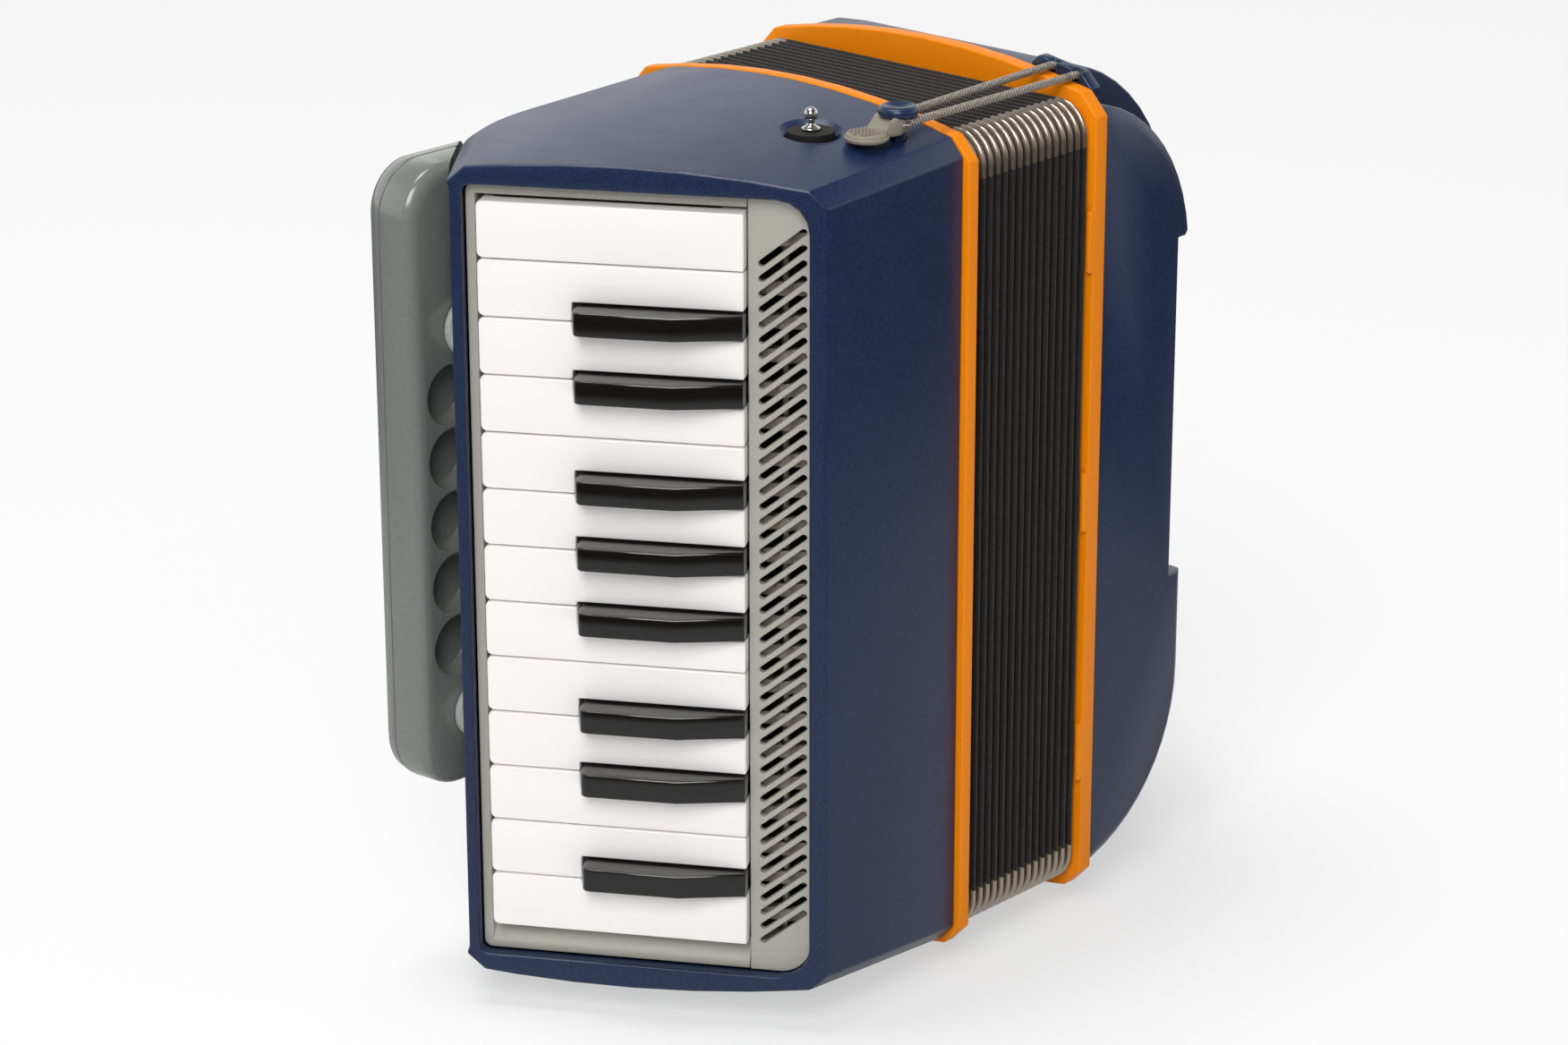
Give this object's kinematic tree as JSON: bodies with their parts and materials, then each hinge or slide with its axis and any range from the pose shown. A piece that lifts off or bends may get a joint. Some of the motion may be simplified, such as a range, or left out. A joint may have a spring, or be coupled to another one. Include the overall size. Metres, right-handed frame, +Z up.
{
  "type": "piano accordion",
  "caption": "Small upright piano accordion with a slanted keyboard, pleated bellows between two flanges, a rounded bass casing with push buttons and a body rest.",
  "frame": {"origin": "middle of the footprint at the underside of the feet, with the bellows closed", "axes": "+X from the keyboard side to the bass side, +Y from the front panel to the player, +Z up"},
  "size_m": [0.2764, 0.1412, 0.2876],
  "materials": {
    "navy_shell": "satin moulded plastic, dark navy",
    "orange_flange": "satin moulded plastic, orange",
    "grey_grille": "fine textured grey plastic",
    "ivory_key": "polished off-white plastic",
    "ebony_key": "polished black plastic",
    "bellows_cloth": "black woven bellows cloth",
    "bright_steel": "polished metal",
    "rest_grey": "glossy grey plastic",
    "wood": "plain spruce",
    "strap_leather": "padded black leather cloth",
    "black_rubber": "matt rubber",
    "tab_plastic": "soft grey plastic",
    "elastic": "braided elastic",
    "button_plastic": "polished black plastic"
  },
  "bodies": {
    "treble_side": {"treble_casing": "navy_shell", "treble_flange": "orange_flange", "keyboard_frame": "grey_grille", "grille_panel": "grey_grille", "key_axle": "bright_steel", "key_spring_comb": "bright_steel", "treble_soundboard": "wood", "treble_reed_block": "wood", "stud_base": "black_rubber", "ball_stud": "bright_steel", "closure_button": "navy_shell", "pull_tab": "tab_plastic", "elastic_cord": "elastic", "body_rest_shell": "rest_grey", "body_rest_cover": "rest_grey", "rest_post_upper": "rest_grey", "rest_post_lower": "rest_grey", "bellows": "bellows_cloth", "treble_foot_front": "black_rubber", "treble_foot_back": "black_rubber"},
    "white_key_01": {"white_key_01": "ivory_key"},
    "white_key_02": {"white_key_02": "ivory_key"},
    "white_key_03": {"white_key_03": "ivory_key"},
    "white_key_04": {"white_key_04": "ivory_key"},
    "white_key_05": {"white_key_05": "ivory_key"},
    "white_key_06": {"white_key_06": "ivory_key"},
    "white_key_07": {"white_key_07": "ivory_key"},
    "white_key_08": {"white_key_08": "ivory_key"},
    "white_key_09": {"white_key_09": "ivory_key"},
    "white_key_10": {"white_key_10": "ivory_key"},
    "white_key_11": {"white_key_11": "ivory_key"},
    "white_key_12": {"white_key_12": "ivory_key"},
    "white_key_13": {"white_key_13": "ivory_key"},
    "black_key_01": {"black_key_01": "ebony_key"},
    "black_key_02": {"black_key_02": "ebony_key"},
    "black_key_03": {"black_key_03": "ebony_key"},
    "black_key_04": {"black_key_04": "ebony_key"},
    "black_key_05": {"black_key_05": "ebony_key"},
    "black_key_06": {"black_key_06": "ebony_key"},
    "black_key_07": {"black_key_07": "ebony_key"},
    "black_key_08": {"black_key_08": "ebony_key"},
    "bass_side": {"bass_flange": "orange_flange", "bass_casing": "navy_shell", "bass_front_cover": "navy_shell", "cord_bracket": "navy_shell", "hand_strap": "strap_leather", "bass_soundboard": "wood", "bass_reed_block": "wood", "bass_foot_front": "black_rubber", "bass_foot_back": "black_rubber"},
    "bass_button_1": {"bass_button_1": "button_plastic"},
    "bass_button_2": {"bass_button_2": "button_plastic"},
    "bass_button_3": {"bass_button_3": "button_plastic"},
    "bass_button_4": {"bass_button_4": "button_plastic"},
    "bass_button_5": {"bass_button_5": "button_plastic"},
    "bass_button_6": {"bass_button_6": "button_plastic"},
    "bass_button_7": {"bass_button_7": "button_plastic"},
    "bass_button_8": {"bass_button_8": "button_plastic"},
    "air_button": {"air_button": "button_plastic"}
  },
  "joints": [
    {"name": "white_key_01_press", "type": "hinge", "parent": "treble_side", "child": "white_key_01", "pos_m": [-0.07613, -0.05151, 0.0371], "axis": [0, 0, -1], "range_deg": [0, 3], "stiffness_Nm_per_rad": 0.3, "springref_deg": -5.73},
    {"name": "white_key_02_press", "type": "hinge", "parent": "treble_side", "child": "white_key_02", "pos_m": [-0.07613, -0.05151, 0.0551], "axis": [0, 0, -1], "range_deg": [0, 3], "stiffness_Nm_per_rad": 0.3, "springref_deg": -5.73},
    {"name": "white_key_03_press", "type": "hinge", "parent": "treble_side", "child": "white_key_03", "pos_m": [-0.07613, -0.05151, 0.0731], "axis": [0, 0, -1], "range_deg": [0, 3], "stiffness_Nm_per_rad": 0.3, "springref_deg": -5.73},
    {"name": "white_key_04_press", "type": "hinge", "parent": "treble_side", "child": "white_key_04", "pos_m": [-0.07613, -0.05151, 0.0911], "axis": [0, 0, -1], "range_deg": [0, 3], "stiffness_Nm_per_rad": 0.3, "springref_deg": -5.73},
    {"name": "white_key_05_press", "type": "hinge", "parent": "treble_side", "child": "white_key_05", "pos_m": [-0.07613, -0.05151, 0.1091], "axis": [0, 0, -1], "range_deg": [0, 3], "stiffness_Nm_per_rad": 0.3, "springref_deg": -5.73},
    {"name": "white_key_06_press", "type": "hinge", "parent": "treble_side", "child": "white_key_06", "pos_m": [-0.07613, -0.05151, 0.1271], "axis": [0, 0, -1], "range_deg": [0, 3], "stiffness_Nm_per_rad": 0.3, "springref_deg": -5.73},
    {"name": "white_key_07_press", "type": "hinge", "parent": "treble_side", "child": "white_key_07", "pos_m": [-0.07613, -0.05151, 0.1451], "axis": [0, 0, -1], "range_deg": [0, 3], "stiffness_Nm_per_rad": 0.3, "springref_deg": -5.73},
    {"name": "white_key_08_press", "type": "hinge", "parent": "treble_side", "child": "white_key_08", "pos_m": [-0.07613, -0.05151, 0.1631], "axis": [0, 0, -1], "range_deg": [0, 3], "stiffness_Nm_per_rad": 0.3, "springref_deg": -5.73},
    {"name": "white_key_09_press", "type": "hinge", "parent": "treble_side", "child": "white_key_09", "pos_m": [-0.07613, -0.05151, 0.1811], "axis": [0, 0, -1], "range_deg": [0, 3], "stiffness_Nm_per_rad": 0.3, "springref_deg": -5.73},
    {"name": "white_key_10_press", "type": "hinge", "parent": "treble_side", "child": "white_key_10", "pos_m": [-0.07613, -0.05151, 0.1991], "axis": [0, 0, -1], "range_deg": [0, 3], "stiffness_Nm_per_rad": 0.3, "springref_deg": -5.73},
    {"name": "white_key_11_press", "type": "hinge", "parent": "treble_side", "child": "white_key_11", "pos_m": [-0.07613, -0.05151, 0.2171], "axis": [0, 0, -1], "range_deg": [0, 3], "stiffness_Nm_per_rad": 0.3, "springref_deg": -5.73},
    {"name": "white_key_12_press", "type": "hinge", "parent": "treble_side", "child": "white_key_12", "pos_m": [-0.07613, -0.05151, 0.2351], "axis": [0, 0, -1], "range_deg": [0, 3], "stiffness_Nm_per_rad": 0.3, "springref_deg": -5.73},
    {"name": "white_key_13_press", "type": "hinge", "parent": "treble_side", "child": "white_key_13", "pos_m": [-0.07613, -0.05151, 0.2531], "axis": [0, 0, -1], "range_deg": [0, 3], "stiffness_Nm_per_rad": 0.3, "springref_deg": -5.73},
    {"name": "black_key_01_press", "type": "hinge", "parent": "treble_side", "child": "black_key_01", "pos_m": [-0.07613, -0.05151, 0.0491], "axis": [0, 0, -1], "range_deg": [0, 3], "stiffness_Nm_per_rad": 0.3, "springref_deg": -5.73},
    {"name": "black_key_02_press", "type": "hinge", "parent": "treble_side", "child": "black_key_02", "pos_m": [-0.07613, -0.05151, 0.0806], "axis": [0, 0, -1], "range_deg": [0, 3], "stiffness_Nm_per_rad": 0.3, "springref_deg": -5.73},
    {"name": "black_key_03_press", "type": "hinge", "parent": "treble_side", "child": "black_key_03", "pos_m": [-0.07613, -0.05151, 0.1016], "axis": [0, 0, -1], "range_deg": [0, 3], "stiffness_Nm_per_rad": 0.3, "springref_deg": -5.73},
    {"name": "black_key_04_press", "type": "hinge", "parent": "treble_side", "child": "black_key_04", "pos_m": [-0.07613, -0.05151, 0.1331], "axis": [0, 0, -1], "range_deg": [0, 3], "stiffness_Nm_per_rad": 0.3, "springref_deg": -5.73},
    {"name": "black_key_05_press", "type": "hinge", "parent": "treble_side", "child": "black_key_05", "pos_m": [-0.07613, -0.05151, 0.1541], "axis": [0, 0, -1], "range_deg": [0, 3], "stiffness_Nm_per_rad": 0.3, "springref_deg": -5.73},
    {"name": "black_key_06_press", "type": "hinge", "parent": "treble_side", "child": "black_key_06", "pos_m": [-0.07613, -0.05151, 0.1751], "axis": [0, 0, -1], "range_deg": [0, 3], "stiffness_Nm_per_rad": 0.3, "springref_deg": -5.73},
    {"name": "black_key_07_press", "type": "hinge", "parent": "treble_side", "child": "black_key_07", "pos_m": [-0.07613, -0.05151, 0.2066], "axis": [0, 0, -1], "range_deg": [0, 3], "stiffness_Nm_per_rad": 0.3, "springref_deg": -5.73},
    {"name": "black_key_08_press", "type": "hinge", "parent": "treble_side", "child": "black_key_08", "pos_m": [-0.07613, -0.05151, 0.2276], "axis": [0, 0, -1], "range_deg": [0, 3], "stiffness_Nm_per_rad": 0.3, "springref_deg": -5.73},
    {"name": "bellows_slide", "type": "slide", "parent": "treble_side", "child": "bass_side", "axis": [1, 0, 0], "range_m": [0, 0.16], "deforming": ["bellows", "elastic_cord"]},
    {"name": "bass_button_1_push", "type": "slide", "parent": "bass_side", "child": "bass_button_1", "axis": [-1, 0, 0], "range_m": [0, 0.0035], "stiffness_N_per_m": 200, "springref_m": -0.003},
    {"name": "bass_button_2_push", "type": "slide", "parent": "bass_side", "child": "bass_button_2", "axis": [-1, 0, 0], "range_m": [0, 0.0035], "stiffness_N_per_m": 200, "springref_m": -0.003},
    {"name": "bass_button_3_push", "type": "slide", "parent": "bass_side", "child": "bass_button_3", "axis": [-1, 0, 0], "range_m": [0, 0.0035], "stiffness_N_per_m": 200, "springref_m": -0.003},
    {"name": "bass_button_4_push", "type": "slide", "parent": "bass_side", "child": "bass_button_4", "axis": [-1, 0, 0], "range_m": [0, 0.0035], "stiffness_N_per_m": 200, "springref_m": -0.003},
    {"name": "bass_button_5_push", "type": "slide", "parent": "bass_side", "child": "bass_button_5", "axis": [-1, 0, 0], "range_m": [0, 0.0035], "stiffness_N_per_m": 200, "springref_m": -0.003},
    {"name": "bass_button_6_push", "type": "slide", "parent": "bass_side", "child": "bass_button_6", "axis": [-1, 0, 0], "range_m": [0, 0.0035], "stiffness_N_per_m": 200, "springref_m": -0.003},
    {"name": "bass_button_7_push", "type": "slide", "parent": "bass_side", "child": "bass_button_7", "axis": [-1, 0, 0], "range_m": [0, 0.0035], "stiffness_N_per_m": 200, "springref_m": -0.003},
    {"name": "bass_button_8_push", "type": "slide", "parent": "bass_side", "child": "bass_button_8", "axis": [-1, 0, 0], "range_m": [0, 0.0035], "stiffness_N_per_m": 200, "springref_m": -0.003},
    {"name": "air_button_push", "type": "slide", "parent": "bass_side", "child": "air_button", "axis": [-1, 0, 0], "range_m": [0, 0.0035], "stiffness_N_per_m": 200, "springref_m": -0.003}
  ]
}
